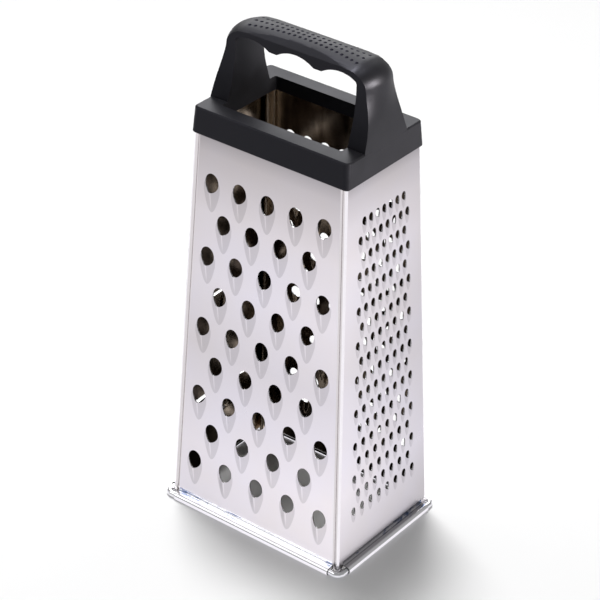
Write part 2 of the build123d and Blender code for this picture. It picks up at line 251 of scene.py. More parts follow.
class GeometryGraph(Graph):
    """A Geometry Nodes tree that takes and gives a geometry, with named inputs."""

    def __init__(self, name: str, inputs: Sequence[tuple[str, str]]) -> None:
        """Make the tree.

        Args:
            name: its name.
            inputs: the name and the kind of socket of each.
        """
        super().__init__(bpy.data.node_groups.new(name, "GeometryNodeTree"))
        sockets = self.tree.interface
        sockets.new_socket("Geometry", in_out="OUTPUT", socket_type="NodeSocketGeometry")
        self.sockets = {
            label: sockets.new_socket(label, in_out="INPUT", socket_type="NodeSocket" + kind).identifier
            for label, kind in (("Geometry", "Geometry"), *inputs)}
        given = self.node("NodeGroupInput")
        self.value = {label: Value(self, given.outputs[label]) for label in self.sockets}

    def geometry(self, kind: str, inputs: dict, output: int | str = 0, **settings: str) -> Value:
        """Add one geometry node and return one of its outputs."""
        return self.out("GeometryNode" + kind, inputs, output, **settings)

    def copies(self, spots: Value, shape: Value, **scale: Value) -> Value:
        """Set a shape at every spot, perhaps by a Scale, and make the copies real."""
        instances = self.geometry("InstanceOnPoints", {"Points": spots, "Instance": shape, **scale})
        return self.geometry("RealizeInstances", {"Geometry": instances})

    def end(self, geometry: Value, **finish: Value | Finish) -> None:
        """Make the result real, give it a Material, perhaps only on a Selection, and hand it on.

        Args:
            geometry: the result.
            finish: inputs of the Set Material node.
        """
        real = self.geometry("RealizeInstances", {"Geometry": geometry})
        dressed = self.geometry("SetMaterial", {"Geometry": real, **finish})
        self.node("NodeGroupOutput", {"Geometry": dressed})

    def attach(self, item: Item, values: dict) -> None:
        """Put the tree on an object as a modifier.

        Args:
            item: the object.
            values: values of the inputs, by name.
        """
        modifier = item.modifiers.new(self.tree.name, "NODES")
        modifier.node_group = self.tree
        for label, value in values.items():
            modifier[self.sockets[label]] = value


# ---- finishes ----
@dataclass(frozen=True)
class SatinSteel:
    """Outside of the panels: pale satin stainless, with painted shade under the collar and on the scoops'
    flanks.

    The painted shade runs up the panel at given shares of top, painted light drifts along it by so much a
    metre, and a painted highlight is left along the scoops' ridges.
    """

    name: str = "satin_steel"
    cool: Colour = (0.96, 0.93, 1.0)
    warm: Colour = (1.0, 0.95, 0.96)
    # painted shade: a warmer tint just under the collar
    collar_shade_tint: Colour = (1.0, 0.985, 0.955)
    # painted shade: the tone up the panel as the light falls on it, darkest under the collar
    shade_by_height: tuple[Point, ...] = ((0.0, 0.87), (0.06, 0.87), (0.18, 0.90), (0.46, 0.75), (0.65, 0.84),
                                  (0.81, 0.79), (0.96, 0.58), (1.0, 0.42))
    # painted light: the panel grows brighter or darker across it by so much a metre
    light_drift: Triple = (1.6, 0.0, 0.0)
    top: float = 0.184
    under_collar: Point = (0.72, 0.95)
    cloud: float = 22.0
    low_roughness: float = 0.27
    high_roughness: float = 0.38
    # painted shade on the scoops' flanks; the ridge is kept full bright as a painted highlight
    flank_shade: float = 0.80
    ridge: float = 0.13
    ridge_end: Point = (0.55, 0.95)
    relief: float = 0.000004

    def make(self) -> Finish:
        """Build the material."""
        g = MaterialGraph(self.name)
        clouds = g.noise(self.cloud, 3.0, 0.55)
        grain = g.rolled_grain()
        tint = g.ramp(clouds, [(0.30, self.cool), (0.72, self.warm)])
        # painted shade by height and under the collar
        height = g.spread(g.axis(g.place, "Z"), 0.0, 1.0, 0.0, self.top)
        collar_shade_tint = g.mixed(g.spread(height, 0.0, 1.0, *self.under_collar), WHITE, self.collar_shade_tint)
        level = g.scaled(g.levels(height, self.shade_by_height), collar_shade_tint)
        # painted light drifting across the panel
        along = g.out("ShaderNodeVectorMath", {0: g.place, 1: self.light_drift}, "Value", operation="DOT_PRODUCT")
        soft = g.spread(clouds, self.low_roughness, self.high_roughness, 0.3, 0.7)
        colour = g.scaled(g.scaled(tint, level), self._flank_shading(g) * (1.0 + along))
        return g.steel(colour, soft + (grain - 0.5) * 0.05, Normal=g.bump(grain, self.relief))

    def _flank_shading(self, g: MaterialGraph) -> Value:
        """Painted shade on the formed scoops' flanks, with a painted highlight kept along their ridges.

        Args:
            g: the material's graph.

        Returns:
            1 off them and on their ridges, less on their flanks.
        """
        mark = g.out("ShaderNodeAttribute", output="Vector", attribute_name=FORMED)
        across = g.math("ABSOLUTE", g.axis(mark, "X"))
        crest = g.spread(across, 1.0, 0.0, self.ridge * 0.4, self.ridge)
        crest = crest * g.spread(g.axis(mark, "Y"), 1.0, 0.0, *self.ridge_end)
        flank_shade = g.spread(g.axis(mark, "Z"), 0.0, 1.0, 0.3, 0.8) * (1.0 - crest)
        return 1.0 - flank_shade * (1.0 - self.flank_shade)


@dataclass(frozen=True)
class ShadedInsideSteel:
    """Inside of the panels: the same sheet, brighter rolled, with painted shade that makes it look dark
    within.
    """

    name: str = "inside_steel"
    # painted shade: the dark tone stands in for the shade inside the body
    dark: Colour = (0.07, 0.05, 0.035)
    light: Colour = (0.52, 0.43, 0.33)
    cloud: float = 60.0
    roughness: float = 0.13

    def make(self) -> Finish:
        """Build the material."""
        g = MaterialGraph(self.name)
        clouds = g.noise(self.cloud, 3.0, 0.6, g.stretched((1.0, 1.0, 0.35)))
        return g.steel(g.ramp(clouds, [(0.42, self.dark), (0.64, self.light)]),
                       g.spread(clouds, self.roughness, self.roughness + 0.12))


@dataclass(frozen=True)
class BrightSteel:
    """Polished steel of the wire and the cut edges, with grey streaks along it.

    The shade is the tone of what lies below shade_level, where the hems' cut ends are.
    """

    name: str = "bright_steel"
    bright: Colour = (0.86, 0.86, 0.88)
    streak: Colour = (0.30, 0.33, 0.40)
    roughness: float = 0.14
    streaks: float = 0.6
    waves: float = 420.0
    length: Triple = (0.12, 0.12, 1.0)
    shade: float = 1.0
    shade_level: Point = (0.0045, 0.0060)

    def make(self) -> Finish:
        """Build the material."""
        g = MaterialGraph(self.name)
        marks = g.noise(self.waves, 3.0, 0.6, g.stretched(self.length))
        edge = 0.50 + 0.25 * (1.0 - self.streaks)
        streaked = g.ramp(marks, [(edge - 0.10, self.bright), (edge + 0.10, self.streak)])
        shade = g.spread(g.axis(g.place, "Z"), self.shade, 1.0, *self.shade_level)
        return g.steel(g.scaled(streaked, shade), g.spread(marks, self.roughness, self.roughness + 0.12))


@dataclass(frozen=True)
class FoldSteel:
    """The corner folds: the same sheet, with painted shade on its folded lip and a painted highlight round
    the corner itself.

    The painted highlight is where |x| + lean z comes within the band of half, all in metres.
    """

    name: str = "fold_steel"
    # painted shade on the folded lip, painted highlight round the corner's bend
    lip: Colour = (0.77, 0.74, 0.74)
    corner: Colour = (1.0, 0.98, 1.0)
    half: float = 0.04652
    lean: float = 0.03929
    band: Point = (0.0011, 0.0007)
    roughness: float = 0.20

    def make(self) -> Finish:
        """Build the material."""
        g = MaterialGraph(self.name)
        out = g.math("ABSOLUTE", g.axis(g.place, "X")) + g.axis(g.place, "Z") * self.lean
        # the band of the painted highlight round the corner
        wear_and_highlight = g.spread(out, 0.0, 1.0, self.half - self.band[0], self.half - self.band[1])
        grain = g.rolled_grain()
        colour = g.scaled(g.mixed(wear_and_highlight, self.lip, self.corner), g.spread(grain, 0.92, 1.0, 0.3, 0.7))
        return g.steel(colour, g.spread(grain, self.roughness, self.roughness + 0.08, 0.3, 0.7))


@dataclass(frozen=True)
class HemSteel:
    """A polished hem: a bright bead, and a ledge over it whose tone, with blue and black streaks along part
    of it, is painted reflection.

    The reach is how strong the painted reflection streaks are at each share of the hem's length.
    """

    name: str = "front_hem"
    bead: Colour = (0.95, 0.94, 0.97)
    # painted reflection: the ledge's tone stands in for what it reflects
    ledge: Colour = (0.97, 0.97, 1.0)
    # painted reflection: blue and black streaks along the ledge
    reflected_streaks: tuple[tuple[float, Colour], ...] = (
        (0.47, (1.0, 1.0, 1.0)), (0.51, (0.40, 0.44, 0.60)), (0.58, (0.10, 0.17, 0.32)),
        (0.66, (0.02, 0.03, 0.05)))
    along: str = "X"
    half: float = 0.045
    reach: tuple[Point, ...] = ((0.0, 1.0), (0.35, 0.75), (0.6, 0.3), (0.86, 0.35), (0.96, 0.9))
    level: Point = (0.0031, 0.0035)
    stretch: Triple = (0.10, 1.0, 1.0)
    waves: float = 800.0
    clear: float = 0.30
    roughness: float = 0.12

    def make(self) -> Finish:
        """Build the material."""
        g = MaterialGraph(self.name)
        share = g.spread(g.axis(g.place, self.along), 0.0, 1.0, -self.half, self.half)
        amount = g.axis(g.levels(share, self.reach), "X")
        upper = g.spread(g.axis(g.place, "Z"), 0.0, 1.0, *self.level)
        marks = g.noise(self.waves, 3.0, 0.65, g.stretched(self.stretch))
        tint = g.ramp(marks - (1.0 - amount * upper) * self.clear, self.reflected_streaks)
        return g.steel(g.scaled(g.mixed(upper, self.bead, self.ledge), tint),
                       g.spread(marks, self.roughness, self.roughness + 0.14, 0.3, 0.7))


@dataclass(frozen=True)
class BlackPlastic:
    """Black moulding with the faint grain and sheen of a satin tool finish."""

    name: str = "black_plastic"
    base: Colour = (0.003, 0.003, 0.0036)
    wear_and_highlight: Colour = (0.006, 0.006, 0.0075)
    sheen: Colour = (0.82, 0.82, 1.0)
    low_roughness: float = 0.36
    high_roughness: float = 0.48
    specular: float = 0.2
    cloud: float = 35.0
    grain: float = 2600.0
    relief: float = 0.00001

    def make(self) -> Finish:
        """Build the material."""
        g = MaterialGraph(self.name)
        clouds = g.noise(self.cloud, 3.0, 0.6)
        return g.finish({
            "Base Color": g.ramp(clouds, [(0.35, self.base), (0.75, self.wear_and_highlight)]),
            "Roughness": g.spread(clouds, self.low_roughness, self.high_roughness, 0.3, 0.7),
            "Specular IOR Level": self.specular,
            "Specular Tint": (*self.sheen, 1.0),
            "Normal": g.bump(g.noise(self.grain), self.relief, 0.5),
        })


# ---- the sheet body's sizes ----
@dataclass(frozen=True)
class BodySizes:
    """Sizes of the steel body, in millimetres, as in the solids."""

    foot_width: float = 92.9
    foot_depth: float = 64.9
    shoulder_width: float = 78.6
    shoulder_depth: float = 49.8
    height: float = 182.0
    panel_foot: float = 1.75
    panel_top: float = 192.95
    sheet: float = 0.45
    bend: float = 0.40
    lock_width: float = 2.2
    lock_depth: float = 5.0
    lock_hook: float = 3.0
    lock_clearance: float = 0.05
    lock_tip_clearance: float = 0.15
    hook_bend: float = 0.22
    wire_height: float = 1.6
    wire_offset: float = 2.15
    roll_radius: float = 1.75
    hem_flare: float = 0.6
    hem_top: float = 1.8
    hem_inset: float = 3.3
    hem_wrap: float = 260.0

    def half(self, wide: bool, z: float) -> float:
        """Half the outside width (wide) or depth of the body at height z."""
        foot, shoulder = ((self.foot_width, self.shoulder_width) if wide
                          else (self.foot_depth, self.shoulder_depth))
        return (foot - (foot - shoulder) * (z - self.panel_foot) / self.height) / 2

    def lean(self, wide: bool) -> float:
        """How far each side comes in for each unit of height, across the width (wide) or the depth."""
        low, high = self.half(wide, self.panel_foot), self.half(wide, self.panel_foot + self.height)
        return (low - high) / self.height

    def slope(self, wide: bool) -> float:
        """Length up a leaning side for each unit of height, on the sides that span the width or depth."""
        return math.sqrt(1 + self.lean(not wide) ** 2)


@dataclass(frozen=True)
class Catch:
    """Windows under the collar that its snap catches fill, in millimetres."""

    across: float = 22.0
    height: float = 189.15
    half_width: float = 3.15
    half_height: float = 1.35


class Side(Enum):
    """The four sides of the body, each with the turn about Z that brings the -Y side there."""

    FRONT = 0.0
    RIGHT = 90.0
    BACK = 180.0
    LEFT = -90.0

    @property
    def wide(self) -> bool:
        """Whether the panel spans the body's width."""
        return self in (Side.FRONT, Side.BACK)


@dataclass(frozen=True)
class Pattern:
    """A staggered pattern of punches, in millimetres, with heights above the panel's foot."""

    first: float
    pitch: float
    rows: int
    even: int
    odd: int
    margin: float
    widen: float = 0.0


@dataclass(frozen=True)
class Scoop:
    """A formed scoop: a hole whose lower lip stands proud at the top of a tapering hump.

    Sizes are in millimetres.  The hump's plan is a rounded point that widens with the square root of
    the distance from its tip, and its cross-section is a ridge with a soft crest and a soft foot.
    """

    width: float
    height: float
    tail: float
    rise: float
    plan: float
    around: int
    rings: int
    crest: float = 0.14
    foot: float = 0.10
    rim: float = 0.25
    square: float = 1.0
    narrowest: float = 0.2

    def _hole(self, turn: float) -> Point:
        """Point of the hole's edge, at a turn in radians from the right."""
        c, s = math.cos(turn), math.sin(turn)
        x = math.copysign(abs(c) ** self.square, c) * self.width / 2
        y = math.copysign(abs(s) ** self.square, s) * self.height / 2
        return x, y

    def _plan(self, y: float) -> float:
        """Half width of the hump at a place along it."""
        run = (y + self.height / 2 + self.tail) / self.tail
        return self.plan * math.sqrt(min(max(run, 0.0), 1.0))

    def _edge(self, turn: float, spare: float) -> Point:
        """Point on the foot of the hump, or beside the top of the hole, widened by so much.

        Args:
            turn: radians from the right.
            spare: the widening, in millimetres.

        Returns:
            The point; the factors 4 and 8 keep it near the middle at the very top and tip.
        """
        c, s = math.cos(turn), math.sin(turn)
        x, y = self._hole(turn)
        if s >= 0:
            out = spare + self.rim
            return x + math.copysign(out * min(1.0, 4 * abs(c)), c), y + out * s
        y = (self.height / 2 + self.tail + spare) * s
        foot = self._plan(y) * (1 + self.foot)
        widest = max(foot, abs(x)) if s > -0.2 else foot
        return math.copysign((widest + spare * math.sqrt(1 + s)) * min(1.0, 8 * abs(c)), c), y

    def _lift(self, x: float, y: float) -> float:
        """Height of the sheet over its plane.

        Args:
            x: place across the scoop.
            y: place along it, from the middle of the hole.

        Returns:
            The height.
        """
        lip = -self.height / 2
        if y >= 0:
            return 0.0
        if y < lip:
            crest = self.rise * max(0.0, (y - lip + self.tail) / self.tail)
        else:
            t = y / lip
            crest = self.rise * t * t * (3 - 2 * t)
        half = max(self._plan(y), 1e-6)
        across = abs(x) / half
        soft = math.sqrt(across ** 2 + self.crest ** 2) - self.crest
        fall = 1 - soft / (math.sqrt(1 + self.crest ** 2) - self.crest)
        if fall <= -self.foot:
            return 0.0
        if fall < self.foot:
            fall = (fall + self.foot) ** 2 / (4 * self.foot)
        return crest * fall

    def meshes(self, name: str) -> tuple[Item, Item]:
        """Build the punched patch and its outer loop.

        Args:
            name: start of the names of both objects.

        Returns:
            The patch, a ring of faces from the hole to the outline, and the outline as a loop of edges.
        """
        count = self.around
        turns = [2 * math.pi * (i + 0.5) / count for i in range(count)]
        points, formed = [], []
        for k in range(self.rings + 1):
            last = k == self.rings
            share = min(1.0, k / (self.rings - 1))
            for turn in turns:
                (hx, hy), (ex, ey) = self._hole(turn), self._edge(turn, self.rim if last else 0.0)
                x, y = hx + (ex - hx) * share, hy + (ey - hy) * share
                points.append((x * MM, y * MM, 0.0 if last else self._lift(x, y) * MM))
                below = -(y + self.height / 2) / self.tail
                formed.append((x / max(self._plan(y), self.narrowest), below, 0.0 if last or y >= 0 else 1.0))
        faces = [(k * count + i, (k + 1) * count + i, (k + 1) * count + (i + 1) % count,
                  k * count + (i + 1) % count) for k in range(self.rings) for i in range(count)]
        patch = bpy.data.meshes.new(name + "_patch")
        patch.from_pydata(points, [], faces)
        marks = patch.attributes.new(FORMED, "FLOAT_VECTOR", "POINT")
        marks.data.foreach_set("vector", [value for mark in formed for value in mark])
        loop = bpy.data.meshes.new(name + "_outline")
        edge = points[-count:]
        loop.from_pydata(edge, [(i, (i + 1) % count) for i in range(count)], [])
        return bpy.data.objects.new(patch.name, patch), bpy.data.objects.new(loop.name, loop)


def filleted(points: list[Point], radii: list[float], steps: int) -> list[Point]:
    """Round the inner corners of an open line.

    Args:
        points: the line's corners.
        radii: one radius for each inner corner.
        steps: straight pieces in each round.

    Returns:
        The rounded line's points.
    """
    line = [Vector(p) for p in points]
    out = [tuple(line[0])]
    for before, here, after, radius in zip(line, line[1:], line[2:], radii):
        back, ahead = (before - here).normalized(), (after - here).normalized()
        half = back.angle(ahead) / 2
        centre = here + (back + ahead).normalized() * (radius / math.sin(half))
        start = here + back * (radius / math.tan(half)) - centre
        end = here + ahead * (radius / math.tan(half)) - centre
        sweep = start.angle_signed(end)
        for i in range(steps + 1):
            turned = Matrix.Rotation(-sweep * i / steps, 2) @ start
            out.append(tuple(centre + turned))
    return out + [tuple(line[-1])]


def added(name: str, data: bpy.types.ID) -> Item:
    """A new object in the scene."""
    item = bpy.data.objects.new(name, data)
    bpy.context.scene.collection.objects.link(item)
    return item


def evaluated(item: Item) -> bpy.types.Mesh:
    """A plain mesh of an object as its modifiers leave it."""
    bpy.context.view_layer.update()
    return bpy.data.meshes.new_from_object(item.evaluated_get(bpy.context.evaluated_depsgraph_get()))


class Punching:
    """The tree that fills a panel's flat and sets a punch at each place of its pattern."""

    INPUTS = (("First", "Float"), ("Pitch", "Float"), ("Rows", "Int"), ("Even", "Int"), ("Odd", "Int"),
              ("Margin", "Float"), ("Foot Half", "Float"), ("Lean", "Float"), ("Slope", "Float"),
              ("Widen", "Float"), ("Patch", "Object"), ("Outline", "Object"), ("Material", "Material"))
    MERGE = 0.004

    def __init__(self) -> None:
        """Build the tree."""
        self.graph = g = GeometryGraph("punched_sheet", self.INPUTS)
        spots, scale = self._spots(g)
        shapes = (g.geometry("ObjectInfo", {"Object": g.value[name]}, "Geometry")
                  for name in ("Patch", "Outline"))
        patches, outlines = (g.copies(spots, shape, Scale=scale) for shape in shapes)
        loops, border = (g.geometry("MeshToCurve", {"Mesh": mesh})
                         for mesh in (outlines, g.value["Geometry"]))
        flat = g.geometry("FillCurve", {"Curve": self._joined(g, loops, border)}, mode="TRIANGLES")
        whole = {"Geometry": self._joined(g, flat, patches), "Distance": self.MERGE * MM}
        g.end(g.geometry("MergeByDistance", whole), Material=g.value["Material"])

    @staticmethod
    def _joined(g: Graph, first: Value, second: Value) -> Value:
        """Join two geometries."""
        node = g.node("GeometryNodeJoinGeometry")
        for geometry in (first, second):
            g.tree.links.new(geometry.socket, node.inputs[0])
        return Value(g, node.outputs[0])

    @staticmethod
    def _spots(g: GeometryGraph) -> tuple[Value, Value]:
        """Points of the pattern, and how much each punch is widened.

        Args:
            g: the tree.

        Returns:
            The points and the scale at each.
        """
        _, first, pitch, rows, even, odd, margin, foot_half, lean, slope, widen, *_ = g.value.values()
        index = g.out("GeometryNodeInputIndex")
        pair = even + odd
        lap = g.math("FLOOR", index / pair)
        place = index - lap * pair
        second = g.math("GREATER_THAN", place, even - 0.5)
        column = place - second * even
        row = lap * 2.0 + second
        count = even + second * (odd - even)
        height = first - pitch * row
        half = foot_half - lean * height - margin
        gaps = g.math("MAXIMUM", g.math("MAXIMUM", even, odd) - 1.0, 1.0)
        x = (column - (count - 1.0) / 2.0) * (half * 2.0 / gaps)
        laps = g.math("FLOOR", rows / 2.0)
        total = laps * pair + (rows - laps * 2.0) * even
        spots = g.geometry("Points", {"Count": total, "Position": g.vector(x, height * slope, 0.0)})
        top_half = foot_half - lean * first - margin
        scale = g.vector(1.0 + widen * (half / top_half - 1.0), 1.0, 1.0)
        return spots, scale


class Part(Enum):
    """The parts of a panel's outside, numbered as its material slots."""

    FLAT = 0
    HEM = 1
    FOLD = 2


@dataclass
class Panel:
    """One punched panel of the body, with sizes in millimetres and its crease in degrees."""

    node: str
    side: Side
    scoop: Scoop
    pattern: Pattern
    catch: Catch | None = None
    body: BodySizes = BodySizes()
    bend_steps: int = 5
    roll_steps: int = 26
    merge: float = 0.006
    crease: float = 35.0

    @property
    def _foot_half(self) -> float:
        """Half of the panel's width at its foot."""
        return self.body.half(self.side.wide, self.body.panel_foot)

    def _reach(self, z: float) -> float:
        """How far the panel stands from the body's axis at height z."""
        return self.body.half(not self.side.wide, z)

    def _fold(self, z: float) -> list[Point]:
        """Plan of the right-hand edge, from the end of the flat to the sheet's edge.

        Args:
            z: the height.

        Returns:
            The plan's points.
        """
        b = self.body
        across, reach, bend = b.half(self.side.wide, z), self._reach(z), b.bend + b.sheet
        if self.side.wide:
            x = across - b.lock_width - b.lock_clearance
            corners = [(0.0, -reach), (x, -reach), (x, -reach + b.lock_depth - b.lock_tip_clearance)]
            radii = [bend]
        else:
            inner = reach - b.lock_width
            hook = inner - b.sheet - 2 * b.lock_clearance
            floor = across - b.lock_depth
            corners = [(0.0, -reach), (across, -reach), (across, -inner), (floor, -inner), (floor, -hook),
                       (floor + b.lock_hook, -hook)]
            radii = [bend, bend, b.hook_bend, b.hook_bend]
        return filleted(corners, radii, self.bend_steps)[1:]

    def _hem(self) -> list[Point]:
        """Profile of the hem as distance from the axis and height, from the flat down round the wire."""
        b = self.body
        level = b.wire_height + b.roll_radius
        start = level + b.hem_top
        centre = self._reach(b.panel_foot) + b.wire_offset
        run = filleted([(self._reach(start), start), (self._reach(level), level), (centre, level)],
                       [b.hem_flare], self.bend_steps)
        turns = [math.radians(90 - b.hem_wrap * i / self.roll_steps) for i in range(1, self.roll_steps + 1)]
        return run + [(centre + b.roll_radius * math.cos(turn),
                       max(0.0, b.wire_height + b.roll_radius * math.sin(turn))) for turn in turns]

    def _flat_matrix(self) -> Matrix:
        """Place of the flat, drawn in its own plane, on the -Y side."""
        b = self.body
        lean = b.lean(not self.side.wide)
        up = Vector((0.0, lean, 1.0)).normalized()
        out = Vector((0.0, -1.0, lean)).normalized()
        origin = Vector((0.0, -self._reach(b.panel_foot), b.panel_foot)) * MM
        return Matrix.Translation(origin) @ Matrix((Vector((1, 0, 0)), up, out)).transposed().to_4x4()

    def _border(self) -> Item:
        """Loop round the flat, with a notch where the hem begins, and the catch windows' loops."""
        b = self.body
        slope = b.slope(self.side.wide)
        top, start = b.panel_top, self._hem()[0][1]
        length = self._foot_half - b.hem_inset
        low, high = self._fold(b.panel_foot)[0][0], self._fold(top)[0][0]
        rise, notch = (top - b.panel_foot) * slope, (start - b.panel_foot) * slope
        loops = [[(-low, 0), (-length, 0), (-length, notch), (length, notch), (length, 0), (low, 0),
                  (high, rise), (-high, rise)]]
        if self.catch:
            w, h = self.catch.half_width, self.catch.half_height
            y = (self.catch.height - b.panel_foot) * slope
            for x in (-self.catch.across, self.catch.across):
                loops.append([(x - w, y - h), (x + w, y - h), (x + w, y + h), (x - w, y + h)])
        points, edges = [], []
        for ring in loops:
            first = len(points)
            points += [(x * MM, y * MM, 0.0) for x, y in ring]
            edges += [(first + i, first + (i + 1) % len(ring)) for i in range(len(ring))]
        mesh = bpy.data.meshes.new(self.node + "_border")
        mesh.from_pydata(points, edges, [])
        return added(mesh.name, mesh)

    def _flat(self, punching: Punching, steel: Finish) -> bpy.types.Mesh:
        """Fill and punch the flat in its own plane.

        Args:
            punching: the tree.
            steel: the outside's finish.

        Returns:
            The flat's skin as a plain mesh.
        """
        border = self._border()
        patch, outline = self.scoop.meshes(self.node)
        p, b = self.pattern, self.body
        punching.graph.attach(border, {
            "First": p.first * MM, "Pitch": p.pitch * MM, "Rows": p.rows, "Even": p.even, "Odd": p.odd,
            "Margin": p.margin * MM, "Foot Half": self._foot_half * MM, "Lean": b.lean(self.side.wide),
            "Slope": b.slope(self.side.wide), "Widen": p.widen,
            "Patch": patch, "Outline": outline, "Material": steel,
        })
        mesh = evaluated(border)
        for item in (border, patch, outline):
            bpy.data.objects.remove(item)
        return mesh

    def _strips(self, skin: bmesh.types.BMesh) -> None:
        """Add the folded edges and the hem.

        Args:
            skin: the panel's skin.
        """
        b = self.body
        low, high = ([Vector((x, y, z)) for x, y in self._fold(z)] for z in (b.panel_foot, b.panel_top))
        self._ruled(skin, low, high, Part.FOLD)
        mirror = Matrix.Diagonal((-1.0, 1.0, 1.0))
        self._ruled(skin, [mirror @ p for p in high], [mirror @ p for p in low], Part.FOLD)
        half = self._foot_half - b.hem_inset
        left, right = ([Vector((x, -reach, z)) for reach, z in self._hem()] for x in (-half, half))
        self._ruled(skin, left, right, Part.HEM)

    @staticmethod
    def _ruled(skin: bmesh.types.BMesh, first: list[Vector], second: list[Vector], part: Part) -> None:
        """Add the faces between two lines of points."""
        rows = [[skin.verts.new(p * MM) for p in line] for line in (first, second)]
        for i in range(len(rows[0]) - 1):
            face = skin.faces.new((rows[0][i], rows[0][i + 1], rows[1][i + 1], rows[1][i]))
            face.material_index = part.value

    def build(self, punching: Punching, outside: list[Finish], inside: Finish, cut: Finish) -> Item:
        """Make the panel.

        Args:
            punching: the tree that fills and punches the flat.
            outside: the outside's finishes, in the order of Part.
            inside: the inside's finish.
            cut: the cut edges' finish.

        Returns:
            The panel, riding on the root body in place of its solid.
        """
        flat = self._flat(punching, outside[Part.FLAT.value])
        flat.transform(self._flat_matrix())
        skin = bmesh.new()
        skin.from_mesh(flat)
        for face in skin.faces:
            face.material_index = Part.FLAT.value
        self._strips(skin)
        bmesh.ops.remove_doubles(skin, verts=skin.verts, dist=self.merge * MM)
        bmesh.ops.recalc_face_normals(skin, faces=skin.faces)
        skin.normal_update()
        if sum(face.normal.y * face.calc_area() for face in skin.faces) > 0:
            bmesh.ops.reverse_faces(skin, faces=skin.faces)
        turn = Matrix.Rotation(math.radians(self.side.value), 4, "Z")
        bmesh.ops.transform(skin, matrix=turn, verts=skin.verts)
        mesh = bpy.data.meshes.new(self.node + "_sheet")
        skin.to_mesh(mesh)
        skin.free()
        for finish in [*outside, *(inside for _ in outside), cut]:
            mesh.materials.append(finish)
        item = added(mesh.name, mesh)
        wall = item.modifiers.new("thickness", "SOLIDIFY")
        wall.thickness = self.body.sheet * MM
        wall.offset = -1.0
        wall.use_even_offset = True
        wall.material_offset = len(outside)
        wall.material_offset_rim = 2 * len(outside)
        settled(item, self.crease)
        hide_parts(self.node)
        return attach(item, ROOT)


def settled(item: Item, crease: float) -> None:
    """Apply an object's modifiers and shade it smooth up to a crease, with broad faces kept flat.

    Args:
        item: the object, in place.
        crease: the angle in degrees past which an edge stays sharp.
    """
    mesh = evaluated(item)
    item.modifiers.clear()
    item.data = mesh
    mesh.shade_smooth()
    mesh.set_sharp_from_angle(angle=math.radians(crease))
    weigh = item.modifiers.new("weighted", "WEIGHTED_NORMAL")
    weigh.mode = "FACE_AREA"
    weigh.weight = 100
    weigh.keep_sharp = True
    item.data = evaluated(item)
    item.modifiers.clear()


